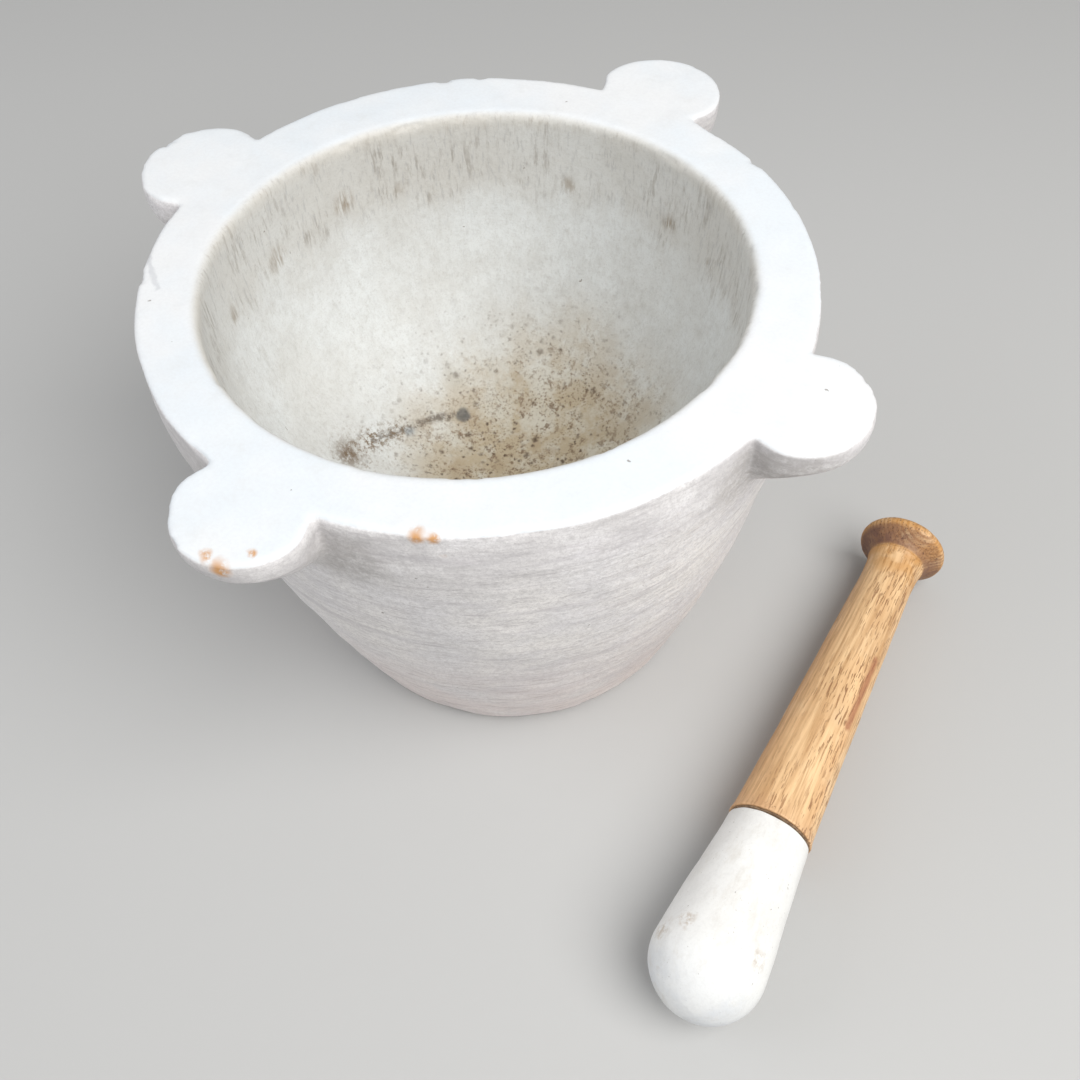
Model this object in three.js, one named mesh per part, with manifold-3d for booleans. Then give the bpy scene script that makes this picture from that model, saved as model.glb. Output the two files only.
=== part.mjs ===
// A carved white marble mortar with four lug handles, and its pestle lying on the ground beside it.
// Units are millimetres, +Z is up. The origin is on the flat foot, directly below the centre of the bowl.

import * as THREE from 'three';
import { mergeVertices } from 'three/addons/utils/BufferGeometryUtils.js';
import Module from 'manifold-3d';

const wasm = await Module();
wasm.setup();

// Mortar
const HEIGHT = 246;
const RIM_RADIUS = 160;
const RIM_BAND = 26;            // upright stretch of the outside below the rim
const RIM_ROUND = 5;            // rounding of the rim's outer and inner edges
const FOOT_RADIUS = 109;
const FOOT_ROUND = 4;
const FOOT_SHIFT = [6.3, 4.9];  // the foot was cut slightly off the bowl's axis
const BODY_BULGE = 0.45;        // how far the tapering side bows outward
const BOWL_RADIUS = 128;
const BOWL_DEPTH = 165;
const BOWL_POWER = 2.5;         // 2 gives an ellipse, more gives steeper walls and a flatter floor
const BOWL_SEGMENTS = 64;

// Lugs: round ears flush with the rim, each on a leaning cone that runs down into the side
const LUG_SIDE = 13;            // upright edge of the ear
const LUG_DROP = 40;            // from that edge down to the cone's foot
const LUG_TAPER = 4;            // how much narrower the cone's foot is, on the radius
const LUG_ROUND = 3;
const LUG_LEAN = 1.15;          // how far the cone leans in towards the body, per unit of depth
const LUG_SEGMENTS = 32;
const LUGS = [                  // direction about the bowl's axis, reach from that axis, ear radius
  { degrees: 0, reach: 197.4, radius: 32.5 },
  { degrees: 89.2, reach: 205.4, radius: 34 },
  { degrees: 182.6, reach: 199.4, radius: 35 },
  { degrees: 270.7, reach: 199, radius: 31.5 },
];

// Pestle, measured along its axis from the tip of the head
const HEAD_LENGTH = 104.6;
const HEAD_RADIUS = 29.4;
const HEAD_WIDEST = 29;         // distance from the tip to the widest section
const JOINT_RADIUS = 22.5;
const JOINT_GAP = 1.4;          // cement line between the head and the handle
const PESTLE_LENGTH = 322;
const HANDLE_OVERHANG = 0.4;    // the wood stands slightly proud of the head at the joint
const NECK_RADIUS = 15.6;
const NECK_START = 285;         // the grip's taper ends here
const NECK_END = 303;           // and the knob starts here
const KNOB_RADIUS = 25.8;
const KNOB_HALF = 4.5;          // half the height of the knob's rim
const TENON_RADIUS = 10;
const TENON_LENGTH = 46;
const SOCKET_RADIUS = 13;
const SOCKET_DEPTH = 50;
const TOUCH_GAP = 0.3;          // clearance between pieces that meet
const PESTLE_SEGMENTS = 40;
const PESTLE_TIP = [230.1, -188.7];
const PESTLE_DEGREES = 92.8;    // direction on the ground from the tip to the knob

const radians = THREE.MathUtils.degToRad;

function lathe(points, segments) {
  const outline = points.map(([radius, z]) => new THREE.Vector2(radius, z));
  const geometry = new THREE.LatheGeometry(outline, segments);
  return geometry.rotateX(Math.PI / 2);
}

function toSolid(geometry) {
  const bare = geometry.clone();
  bare.deleteAttribute('normal');
  bare.deleteAttribute('uv');
  const merged = mergeVertices(bare, 1e-4);
  return new wasm.Manifold(new wasm.Mesh({
    numProp: 3,
    vertProperties: new Float32Array(merged.attributes.position.array),
    triVerts: new Uint32Array(merged.index.array),
  }));
}

function toGeometry(solid) {
  const mesh = solid.getMesh();
  const geometry = new THREE.BufferGeometry();
  geometry.setAttribute('position', new THREE.BufferAttribute(mesh.vertProperties, 3));
  geometry.setIndex(new THREE.BufferAttribute(mesh.triVerts, 1));
  geometry.computeVertexNormals();
  return geometry;
}

// Points of a quarter round from angle a to angle b (degrees), about [radius, z]
function arc(radius, z, size, a, b, steps) {
  return Array.from({ length: steps + 1 }, (_, i) => {
    const turn = radians(a + ((b - a) * i) / steps);
    return [radius + size * Math.cos(turn), z + size * Math.sin(turn)];
  });
}

// Mortar -------------------------------------------------------------------------------------

function bodyRadius(z) {
  const t = Math.min(z / (HEIGHT - RIM_BAND), 1);
  return FOOT_RADIUS + (RIM_RADIUS - FOOT_RADIUS) * (t + BODY_BULGE * t * (1 - t));
}

function bodyGeometry() {
  const steps = 14;
  const side = Array.from({ length: steps }, (_, i) => {
    const z = FOOT_ROUND * 2 + ((HEIGHT - RIM_BAND - FOOT_ROUND * 2) * i) / (steps - 1);
    return [bodyRadius(z), z];
  });
  const outline = [
    [0, 0],
    ...arc(FOOT_RADIUS - FOOT_ROUND, FOOT_ROUND, FOOT_ROUND, -90, 0, 3),
    ...side,
    ...arc(RIM_RADIUS - RIM_ROUND, HEIGHT - RIM_ROUND, RIM_ROUND, 0, 90, 3),
    [0, HEIGHT],
  ];
  // The lean carries the foot sideways while the rim stays centred on the bowl's axis.
  const lean = new THREE.Matrix4().set(
    1, 0, -FOOT_SHIFT[0] / HEIGHT, FOOT_SHIFT[0],
    0, 1, -FOOT_SHIFT[1] / HEIGHT, FOOT_SHIFT[1],
    0, 0, 1, 0,
    0, 0, 0, 1,
  );
  return lathe(outline, BOWL_SEGMENTS).applyMatrix4(lean);
}

function bowlGeometry() {
  const steps = 16;
  const above = 10;
  const wall = Array.from({ length: steps + 1 }, (_, i) => {
    const turn = (Math.PI / 2) * (i / steps);
    const radius = BOWL_RADIUS * Math.sin(turn) ** (2 / BOWL_POWER);
    const depth = BOWL_DEPTH * Math.cos(turn) ** (2 / BOWL_POWER);
    return [i === 0 ? 0 : radius, HEIGHT - depth];
  });
  const mouth = arc(BOWL_RADIUS + RIM_ROUND, HEIGHT - RIM_ROUND, RIM_ROUND, 180, 90, 3);
  const outline = [
    ...wall.filter(([, z]) => z < HEIGHT - RIM_ROUND * 2),
    ...mouth,
    [BOWL_RADIUS + RIM_ROUND, HEIGHT + above],
    [0, HEIGHT + above],
  ];
  return lathe(outline, BOWL_SEGMENTS);
}

function lugGeometry({ degrees, reach, radius }) {
  const outline = [
    [0, HEIGHT - LUG_SIDE - LUG_DROP],
    [radius - LUG_TAPER, HEIGHT - LUG_SIDE - LUG_DROP],
    [radius, HEIGHT - LUG_SIDE],
    ...arc(radius - LUG_ROUND, HEIGHT - LUG_ROUND, LUG_ROUND, 0, 90, 3),
    [0, HEIGHT],
  ];
  const geometry = lathe(outline, LUG_SEGMENTS);
  // The cone leans inward below the upright edge, so that its foot ends inside the wall.
  const place = geometry.attributes.position;
  for (let i = 0; i < place.count; i += 1) {
    const drop = Math.max(HEIGHT - LUG_SIDE - place.getZ(i), 0);
    place.setX(i, place.getX(i) - LUG_LEAN * drop);
  }
  return geometry.translate(reach - radius, 0, 0).rotateZ(radians(degrees));
}

function mortarGeometry() {
  let solid = toSolid(bodyGeometry());
  for (const lug of LUGS) {
    solid = solid.add(toSolid(lugGeometry(lug)));
  }
  return toGeometry(solid.subtract(toSolid(bowlGeometry())));
}

// Pestle -------------------------------------------------------------------------------------

function headGeometry() {
  const steps = 8;
  const tip = Array.from({ length: steps + 1 }, (_, i) => {
    const turn = (Math.PI / 2) * (i / steps);
    return [i === 0 ? 0 : HEAD_RADIUS * Math.sin(turn), HEAD_WIDEST * (1 - Math.cos(turn))];
  });
  const taper = Array.from({ length: steps }, (_, i) => {
    const t = (i + 1) / steps;
    const fall = t * (0.55 + t * (1.15 - 0.7 * t));
    return [
      HEAD_RADIUS + (JOINT_RADIUS - HEAD_RADIUS) * fall,
      HEAD_WIDEST + (HEAD_LENGTH - HEAD_WIDEST) * t,
    ];
  });
  return lathe([
    ...tip,
    ...taper,
    [SOCKET_RADIUS, HEAD_LENGTH],
    [SOCKET_RADIUS, HEAD_LENGTH - SOCKET_DEPTH],
    [0, HEAD_LENGTH - SOCKET_DEPTH],
  ], PESTLE_SEGMENTS);
}

function cementGeometry() {
  const inside = TENON_RADIUS + TOUCH_GAP;
  const outside = SOCKET_RADIUS - TOUCH_GAP;
  const bottom = HEAD_LENGTH - SOCKET_DEPTH + TOUCH_GAP;
  const below = HEAD_LENGTH + TOUCH_GAP;
  const above = HEAD_LENGTH + JOINT_GAP - TOUCH_GAP;
  return lathe([
    [inside, bottom],
    [outside, bottom],
    [outside, below],
    [JOINT_RADIUS - HANDLE_OVERHANG, below],
    [JOINT_RADIUS - HANDLE_OVERHANG, above],
    [inside, above],
    [inside, bottom],
  ], PESTLE_SEGMENTS);
}

function handleGeometry() {
  const start = HEAD_LENGTH + JOINT_GAP;
  const steps = 12;
  const grip = Array.from({ length: steps + 1 }, (_, i) => {
    const t = i / steps;
    const wide = JOINT_RADIUS + HANDLE_OVERHANG;
    return [wide + (NECK_RADIUS - wide) * t ** 0.85, start + (NECK_START - start) * t];
  });
  const knobMiddle = PESTLE_LENGTH - KNOB_HALF - 1;
  const knob = arc(KNOB_RADIUS - KNOB_HALF, knobMiddle, KNOB_HALF, -60, 75, 6);
  return lathe([
    [0, HEAD_LENGTH - TENON_LENGTH],
    [TENON_RADIUS, HEAD_LENGTH - TENON_LENGTH],
    [TENON_RADIUS, start],
    ...grip,
    [NECK_RADIUS, NECK_END],
    [NECK_RADIUS + 1.4, NECK_END + 4],
    ...knob,
    [0, PESTLE_LENGTH],
  ], PESTLE_SEGMENTS);
}

function pestleGroup() {
  const group = new THREE.Group();
  group.add(
    piece('pestle_head', headGeometry(), 0xeceae6, 0.45),
    piece('joint_cement', cementGeometry(), 0x6b4423, 0.8),
    piece('pestle_handle', handleGeometry(), 0xb98a55, 0.55),
  );
  // It lies on two circles, the head's widest section and the knob's rim.
  const knobAt = PESTLE_LENGTH - KNOB_HALF - 1;
  const droop = Math.asin((HEAD_RADIUS - KNOB_RADIUS) / (knobAt - HEAD_WIDEST));
  const tipHeight = HEAD_RADIUS / Math.cos(droop) + HEAD_WIDEST * Math.tan(droop);
  const lying = new THREE.Matrix4().makeRotationY(Math.PI / 2 + droop);
  const turned = new THREE.Matrix4().makeRotationZ(radians(PESTLE_DEGREES));
  group.applyMatrix4(turned.multiply(lying));
  group.position.set(PESTLE_TIP[0], PESTLE_TIP[1], tipHeight);
  return group;
}

// Assembly -----------------------------------------------------------------------------------

function piece(name, geometry, color, roughness) {
  const material = new THREE.MeshStandardMaterial({ color, roughness, metalness: 0 });
  const mesh = new THREE.Mesh(geometry, material);
  mesh.name = name;
  return mesh;
}

const mortarAndPestle = new THREE.Group();
mortarAndPestle.add(
  piece('mortar_bowl', mortarGeometry(), 0xf1f1ef, 0.6),
  pestleGroup(),
);

export default mortarAndPestle;
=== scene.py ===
"""A white marble mortar with four lug handles, and its stone-headed pestle lying beside it."""
import math

import bmesh
import bpy
import numpy as np
from mathutils import Matrix, Vector


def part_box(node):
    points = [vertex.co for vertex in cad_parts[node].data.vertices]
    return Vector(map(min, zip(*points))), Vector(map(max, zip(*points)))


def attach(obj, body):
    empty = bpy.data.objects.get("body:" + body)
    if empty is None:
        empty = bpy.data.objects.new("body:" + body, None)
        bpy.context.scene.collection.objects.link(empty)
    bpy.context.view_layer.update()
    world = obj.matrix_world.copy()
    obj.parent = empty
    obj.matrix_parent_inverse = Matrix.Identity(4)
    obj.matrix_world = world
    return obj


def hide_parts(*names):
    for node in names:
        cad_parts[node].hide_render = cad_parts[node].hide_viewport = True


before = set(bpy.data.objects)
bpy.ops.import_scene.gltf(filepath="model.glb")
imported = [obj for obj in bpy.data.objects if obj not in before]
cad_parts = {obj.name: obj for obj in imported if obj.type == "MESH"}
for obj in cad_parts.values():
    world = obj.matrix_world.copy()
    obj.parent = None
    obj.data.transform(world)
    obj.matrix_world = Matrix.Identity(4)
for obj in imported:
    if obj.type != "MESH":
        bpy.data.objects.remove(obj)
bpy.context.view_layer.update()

MM = 0.001

# Mortar, in metres. The main sizes are the part's; edges are worn rounder or sharper.
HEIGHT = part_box("mortar_bowl")[1].z
RIM_RADIUS = 160 * MM
RIM_BAND = 26 * MM
FOOT_RADIUS = 109 * MM
FOOT_ROUND = 5 * MM
FOOT_SHIFT = np.array([6.3, 4.9]) * MM
BODY_BULGE = 0.45
BOWL_RADIUS = 128 * MM
BOWL_DEPTH = 165 * MM
BOWL_POWER = 2.5
OUTER_EDGE = 2 * MM             # rounding of the rim's outer edge
INNER_EDGE = 4 * MM             # and of its inner edge
BOWL_OVAL = 0.02                # the mouth is worn slightly oval
BOWL_OVAL_DEGREES = 54
BOWL_SHIFT = np.array([0.6, -1.8]) * MM
LUG_SIDE = 13 * MM
LUG_DROP = 40 * MM
LUG_TAPER = 0.1                 # how fast a lug narrows below its upright edge
LUG_LEAN = 1.15                 # and how fast it draws in towards the body
LUG_BEND = 3 * MM               # softness of the bend below the upright edge
LUG_PINCH = 0.10                # how much narrower a lug is where it leaves the rim
LUG_PINCH_START = RIM_RADIUS + 14 * MM
LUG_PINCH_FULL = RIM_RADIUS - 4 * MM
LUG_INNER = 139 * MM            # a lug's hidden side stops this far from the axis, inside the wall
LUGS = [                        # direction in degrees, reach from the axis, radius of the ear
    (0.0, 197.4 * MM, 32.5 * MM),
    (89.2, 205.4 * MM, 34.0 * MM),
    (182.6, 199.4 * MM, 35.0 * MM),
    (270.7, 199.0 * MM, 31.5 * MM),
]
MORTAR_COLUMNS = 400
BODY_RINGS = 60
BOWL_RINGS = 90
EDGE_RINGS = 6
LUG_COLUMNS = 160
LUG_RINGS = 40
MORTAR_GRAIN = 1.4 * MM         # edge length of the mortar's final mesh
MORTAR_WEAR = 2                 # smoothing passes that soften its edges and corners

# Pestle, in metres from the tip of the head along its own axis
HEAD_LENGTH = 104.6 * MM
HEAD_RADIUS = 29.4 * MM
HEAD_WIDEST = 29 * MM
JOINT_RADIUS = 22.5 * MM
JOINT_GAP = 1.4 * MM
OVERHANG = 0.4 * MM
PESTLE_LENGTH = 322 * MM
NECK_RADIUS = 15.6 * MM
NECK_START = 285 * MM
NECK_END = 303 * MM
KNOB_RADIUS = 25.8 * MM
KNOB_HALF = 4.5 * MM
KNOB_MIDDLE = PESTLE_LENGTH - KNOB_HALF - 1 * MM
TENON_RADIUS = 10 * MM
TENON_LENGTH = 46 * MM
SOCKET_RADIUS = 13 * MM
SOCKET_DEPTH = 50 * MM
TOUCH_GAP = 0.3 * MM
PESTLE_COLUMNS = 320
HEAD_RINGS = 60
HEAD_LIP = 1 * MM
BORE_RINGS = 8
GRIP_RINGS = 110
HEAD_WAVES = (0.30 * MM, 0.03, 71)      # roughness: depth, size across and seed
HEAD_BUMPS = (0.08 * MM, 0.006, 83)
GRIP_WAVES = (0.25 * MM, 0.04, 131)
GRIP_BUMPS = (0.06 * MM, 0.004, 139)
CEMENT_SWELL = (0.012, 0.006, 97)       # the depth is a share of the radius here
PESTLE_TIP = (230.1 * MM, -188.7 * MM)
PESTLE_DEGREES = 92.8


# ---- Camera, light and floor ----

CAMERA_PLACE = (0.2569, -0.3348, 0.5933)
CAMERA_HEADING = 37.5 - math.degrees(0.0594)    # degrees from +Y towards -X
CAMERA_DOWN = 53.3                              # degrees below the horizon
CAMERA_ROLL = -0.033                            # about the line of sight, in radians
CAMERA_LENS = 37.5
SENSOR_WIDTH = 36
WORLD_COLOR = (1.0, 1.0, 1.0)
WORLD_STRENGTH = 0.42
FLOOR_SIZE = 12.0                               # from the middle to each edge, in metres
FLOOR_COLOR = (0.50, 0.50, 0.495)
FLOOR_ROUGHNESS = 0.9
LIGHTS = [                                      # name, place, aim, diameter, power and colour
    ("key", (1.14, -0.24, 1.55), (0.05, 0, 0.15), 1.6, 35, (1.0, 0.99, 0.97)),
    ("fill", (-1.3, -0.9, 1.0), (0, 0, 0.12), 1.6, 10, (0.95, 0.97, 1.0)),
]


def add_camera():
    camera = bpy.data.objects.new("camera", bpy.data.cameras.new("camera"))
    bpy.context.scene.collection.objects.link(camera)
    camera.data.lens = CAMERA_LENS
    camera.data.sensor_width = SENSOR_WIDTH
    camera.data.clip_start = 0.01
    turn = Matrix.Rotation(math.radians(CAMERA_HEADING), 4, "Z")
    tip = Matrix.Rotation(math.radians(90 - CAMERA_DOWN), 4, "X")
    roll = Matrix.Rotation(CAMERA_ROLL, 4, "Z")
    camera.matrix_world = Matrix.Translation(CAMERA_PLACE) @ turn @ tip @ roll
    bpy.context.scene.camera = camera


def add_area_light(name, place, aim, size, power, color):
    light = bpy.data.objects.new(name, bpy.data.lights.new(name, "AREA"))
    bpy.context.scene.collection.objects.link(light)
    light.data.shape = "DISK"
    light.data.size = size
    light.data.energy = power
    light.data.color = color
    away = Vector(place) - Vector(aim)
    light.matrix_world = Matrix.Translation(place) @ away.to_track_quat("Z", "Y").to_matrix().to_4x4()


def add_world():
    world = bpy.data.worlds.new("studio")
    world.use_nodes = True
    background = world.node_tree.nodes["Background"]
    background.inputs["Color"].default_value = (*WORLD_COLOR, 1)
    background.inputs["Strength"].default_value = WORLD_STRENGTH
    bpy.context.scene.world = world


def add_floor():
    mesh = bpy.data.meshes.new("studio_floor")
    corners = [(x * FLOOR_SIZE, y * FLOOR_SIZE, 0) for x, y in ((-1, -1), (1, -1), (1, 1), (-1, 1))]
    mesh.from_pydata(corners, [], [(0, 1, 2, 3)])
    floor = bpy.data.objects.new("studio_floor", mesh)
    bpy.context.scene.collection.objects.link(floor)
    paint = Paint("studio_floor")
    paint.shader["Base Color"].default_value = (*FLOOR_COLOR, 1)
    paint.shader["Roughness"].default_value = FLOOR_ROUGHNESS
    mesh.materials.append(paint.material)


# ---- Noise and mesh building ----

def lattice(x, y, z, seed):
    """A repeatable random value in -1..1 for each whole-number point."""
    mixed = (x * 374761393 + y * 668265263 + z * 1442695041 + seed * 974711) & 0xFFFFFFFF
    mixed = ((mixed ^ (mixed >> 13)) * 1274126177) & 0xFFFFFFFF
    return (mixed ^ (mixed >> 16)) / 0x7FFFFFFF - 1.0


def noise(points, size, seed):
    """Smooth random values in -1..1 with bumps about `size` metres across, at points (..., 3)."""
    cell = points / size
    low = np.floor(cell).astype(np.int64)
    part = cell - low
    part = part ** 3 * (part * (part * 6 - 15) + 10)
    total = 0.0
    for corner in np.ndindex(2, 2, 2):
        step = np.array(corner)
        weight = np.where(step == 1, part, 1 - part).prod(axis=-1)
        at = low + step
        total = total + weight * lattice(at[..., 0], at[..., 1], at[..., 2], seed)
    return total


def rough(points, size, seed, octaves=3):
    """Noise at several scales, each half the size and half the height of the one before."""
    return sum(noise(points, size / 2 ** i, seed + 31 * i) / 2 ** i for i in range(octaves))


def bumps(points, kind, octaves=3):
    """Roughness of a kind, given as depth, size across and seed."""
    depth, size, seed = kind
    return depth * rough(points, size, seed, octaves)


def hollows(points, kind):
    """The same, but lying below the surface apart from its highest peaks."""
    depth, size, seed = kind
    return depth * (rough(points, size, seed) - 1)


def smooth_step(low, high, value):
    """0 at `low`, 1 at `high`, with soft ends. `low` may be the greater."""
    t = np.clip((value - low) / (high - low), 0, 1)
    return t * t * (3 - 2 * t)


def resample(points, count):
    """The same polyline with `count` evenly spaced points."""
    points = np.asarray(points, float)
    lengths = np.linalg.norm(np.diff(points, axis=0), axis=1)
    along = np.concatenate([[0], np.cumsum(lengths)])
    at = np.linspace(0, along[-1], count)
    return np.stack([np.interp(at, along, points[:, k]) for k in range(points.shape[1])], axis=1)


def grid_normals(rows):
    """Outward normals of a grid of rings, from its neighbours along and across."""
    along = np.gradient(rows, axis=0)
    wrapped = np.concatenate([rows[:, -1:], rows, rows[:, :1]], axis=1)
    across = (wrapped[:, 2:] - wrapped[:, :-2]) / 2
    normal = np.cross(across, along)
    length = np.linalg.norm(normal, axis=2, keepdims=True)
    return normal / np.maximum(length, 1e-12)


def loft(name, rows, ring=False):
    """A closed mesh through rings of points. The end rings close on a middle point, or, for
    ring=True, the last ring joins the first."""
    count, around = rows.shape[:2]
    index = np.arange(count * around).reshape(count, around)
    after = np.roll(index, -1, axis=1)
    lower, upper = (index, np.roll(index, -1, axis=0)) if ring else (index[:-1], index[1:])
    lower_next, upper_next = (after, np.roll(after, -1, axis=0)) if ring else (after[:-1], after[1:])
    quads = np.stack([lower, lower_next, upper_next, upper], axis=-1).reshape(-1, 4)
    points = rows.reshape(-1, 3)
    faces = quads.tolist()
    if not ring:
        points = np.vstack([points, rows[0].mean(axis=0), rows[-1].mean(axis=0)])
        first, last = count * around, count * around + 1
        faces += [(first, b, a) for a, b in zip(index[0].tolist(), after[0].tolist())]
        faces += [(last, a, b) for a, b in zip(index[-1].tolist(), after[-1].tolist())]
    mesh = bpy.data.meshes.new(name)
    mesh.from_pydata(points.tolist(), [], faces)
    mesh.shade_smooth()
    piece = bpy.data.objects.new(name, mesh)
    bpy.context.scene.collection.objects.link(piece)
    return piece


def store(piece, name, values):
    """Keeps one number per vertex on the mesh, for its material. Points past the last value,
    such as a loft's end points, take that value."""
    values = np.asarray(values, np.float32).ravel()
    spare = len(piece.data.vertices) - len(values)
    if spare:
        values = np.concatenate([values, np.full(spare, values[-1], np.float32)])
    attribute = piece.data.attributes.new(name, "FLOAT", "POINT")
    attribute.data.foreach_set("value", values)


# ---- Node helper ----

class Paint:
    """A material with one Principled shader, and short ways to add nodes to it."""

    def __init__(self, name):
        self.material = bpy.data.materials.new(name)
        self.material.use_nodes = True
        self.tree = self.material.node_tree
        self.shader = self.tree.nodes["Principled BSDF"].inputs
        self.place = self.tree.nodes.new("ShaderNodeTexCoord").outputs["Object"]
        self.moved = {}             # ragged positions already made, by amount and size

    def add(self, kind, **settings):
        node = self.tree.nodes.new(kind)
        for key, value in settings.items():
            setattr(node, key, value)
        return node

    def feed(self, socket, value):
        if isinstance(value, bpy.types.NodeSocket):
            self.tree.links.new(value, socket)
        else:
            socket.default_value = value

    def math(self, operation, a, b=0.0, c=0.0, clamp=False):
        node = self.add("ShaderNodeMath", operation=operation, use_clamp=clamp)
        self.feed(node.inputs[0], a)
        self.feed(node.inputs[1], b)
        node.inputs[2].default_value = c
        return node.outputs[0]

    def times(self, *values):
        result = values[0]
        for value in values[1:]:
            result = self.math("MULTIPLY", result, value)
        return result

    def attribute(self, name):
        """A value stored on the mesh, one per vertex."""
        return self.add("ShaderNodeAttribute", attribute_name=name).outputs["Fac"]

    def stretched(self, scale, rotation=(0, 0, 0), offset=(0, 0, 0)):
        """The position scaled, turned by degrees and moved, for noise that runs one way."""
        node = self.add("ShaderNodeMapping")
        self.feed(node.inputs["Vector"], self.place)
        node.inputs["Scale"].default_value = scale
        node.inputs["Rotation"].default_value = [math.radians(v) for v in rotation]
        node.inputs["Location"].default_value = offset
        return node.outputs[0]

    def noise(self, size, detail=3.0, roughness=0.55, place=None, distortion=0.0):
        """Noise in 0..1 with bumps about `size` metres across."""
        node = self.add("ShaderNodeTexNoise")
        self.feed(node.inputs["Vector"], place or self.place)
        node.inputs["Scale"].default_value = 1 / size
        node.inputs["Detail"].default_value = detail
        node.inputs["Roughness"].default_value = roughness
        node.inputs["Distortion"].default_value = distortion
        return node.outputs[0]

    def height(self):
        split = self.add("ShaderNodeSeparateXYZ")
        self.feed(split.inputs[0], self.place)
        return split.outputs["Z"]

    def vector(self, operation, a, b):
        node = self.add("ShaderNodeVectorMath", operation=operation)
        self.feed(node.inputs[0], a)
        self.feed(node.inputs[1], b)
        return node.outputs["Value" if operation in ("DOT_PRODUCT", "DISTANCE") else "Vector"]

    def ragged(self, amount, size):
        """The position, moved about by noise so that shapes drawn with it have ragged edges."""
        if (amount, size) in self.moved:
            return self.moved[amount, size]
        node = self.add("ShaderNodeTexNoise")
        self.feed(node.inputs["Vector"], self.place)
        node.inputs["Scale"].default_value = 1 / size
        push = self.vector("SUBTRACT", node.outputs["Color"], (0.5, 0.5, 0.5))
        scaled = self.vector("MULTIPLY", push, (2 * amount, 2 * amount, 2 * amount))
        self.moved[amount, size] = self.vector("ADD", self.place, scaled)
        return self.moved[amount, size]

    def dots(self, size, radius, share, soft):
        """Roundish spots in `share` of cells `size` metres across. The radius is part of a cell."""
        node = self.add("ShaderNodeTexVoronoi")
        self.feed(node.inputs["Vector"], self.ragged(0.30 * size, 0.40 * size))
        node.inputs["Scale"].default_value = 1 / size
        split = self.add("ShaderNodeSeparateColor")
        self.feed(split.inputs[0], node.outputs["Color"])
        chosen = self.math("LESS_THAN", split.outputs[0], share)
        grown = self.math("MULTIPLY_ADD", split.outputs[1], 0.8, 0.6)
        spread = self.math("DIVIDE", node.outputs["Distance"], grown)
        return self.times(self.ramp(spread, radius * (1 - soft), radius * (1 + soft), 1.0, 0.0), chosen)

    def line(self, start, end, width, wander=0.006):
        """1 along a ragged line between two points, falling to 0 at `width` metres from it."""
        start, end = Vector(start), Vector(end)
        span = end - start
        place = self.ragged(wander, 2.6 * wander)
        along = self.vector("DOT_PRODUCT", self.vector("SUBTRACT", place, start), span)
        share = self.math("MULTIPLY", along, 1 / span.length_squared, clamp=True)
        node = self.add("ShaderNodeVectorMath", operation="SCALE")
        node.inputs[0].default_value = span
        self.feed(node.inputs["Scale"], share)
        nearest = self.vector("ADD", node.outputs["Vector"], start)
        return self.ramp(self.vector("DISTANCE", place, nearest), 0.25 * width, width, 1.0, 0.0)

    def ramp(self, value, low, high, to_low=0.0, to_high=1.0):
        """Maps low..high to to_low..to_high with soft ends."""
        node = self.add("ShaderNodeMapRange", interpolation_type="SMOOTHSTEP")
        self.feed(node.inputs["Value"], value)
        ascending = high > low
        node.inputs["From Min"].default_value = low if ascending else high
        node.inputs["From Max"].default_value = high if ascending else low
        node.inputs["To Min"].default_value = to_low if ascending else to_high
        node.inputs["To Max"].default_value = to_high if ascending else to_low
        return node.outputs[0]

    def near(self, point, radius, soft=0.5):
        """1 close to a point, falling to 0 at `radius` metres from it, with a ragged edge."""
        place = self.ragged(0.0025, 0.008) if radius < 0.02 else self.ragged(0.016, 0.05)
        return self.ramp(self.vector("DISTANCE", place, point), radius * (1 - soft), radius, 1.0, 0.0)

    def mix(self, amount, under, over):
        """`under` where the amount is 0, `over` where it is 1."""
        node = self.add("ShaderNodeMix", data_type="RGBA")
        sockets = [s for s in node.inputs if s.enabled]
        self.feed(sockets[0], amount)
        self.feed(sockets[1], under if isinstance(under, bpy.types.NodeSocket) else (*under, 1))
        self.feed(sockets[2], over if isinstance(over, bpy.types.NodeSocket) else (*over, 1))
        return next(s for s in node.outputs if s.enabled)

    def over(self, under, color, *amounts):
        """`under` with a colour laid over it, as strongly as the product of the amounts."""
        return self.mix(self.times(*amounts), under, color)

    def bump(self, layers):
        """Chains bumps into the shader's normal: each layer is (height value, depth in metres)."""
        normal = None
        for height, depth in layers:
            node = self.add("ShaderNodeBump")
            node.inputs["Strength"].default_value = 1.0
            node.inputs["Distance"].default_value = depth
            self.feed(node.inputs["Height"], height)
            if normal:
                self.feed(node.inputs["Normal"], normal)
            normal = node.outputs["Normal"]
        self.feed(self.shader["Normal"], normal)


# ---- Mortar ----

def body_radius(z):
    """The outside's radius at height z: a bowed taper, then the upright band below the rim."""
    t = np.clip(z / (HEIGHT - RIM_BAND), 0, 1)
    return FOOT_RADIUS + (RIM_RADIUS - FOOT_RADIUS) * (t + BODY_BULGE * t * (1 - t))


def bowl_radius(angles, radius):
    """The oval mouth's radius in each direction, round again at the floor."""
    share = (radius / BOWL_RADIUS) ** 2
    turn = angles - math.radians(BOWL_OVAL_DEGREES)
    return radius * (1 + BOWL_OVAL * share * np.cos(2 * turn))


def ring_at(angles, radius, z):
    """A level ring of points on the outside, whose middle drifts from the foot's to the rim's."""
    shift = FOOT_SHIFT * (1 - z / HEIGHT)
    x = shift[0] + radius * np.cos(angles)
    y = shift[1] + radius * np.sin(angles)
    return np.stack([x, y, np.full_like(x, z)], axis=1)


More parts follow.
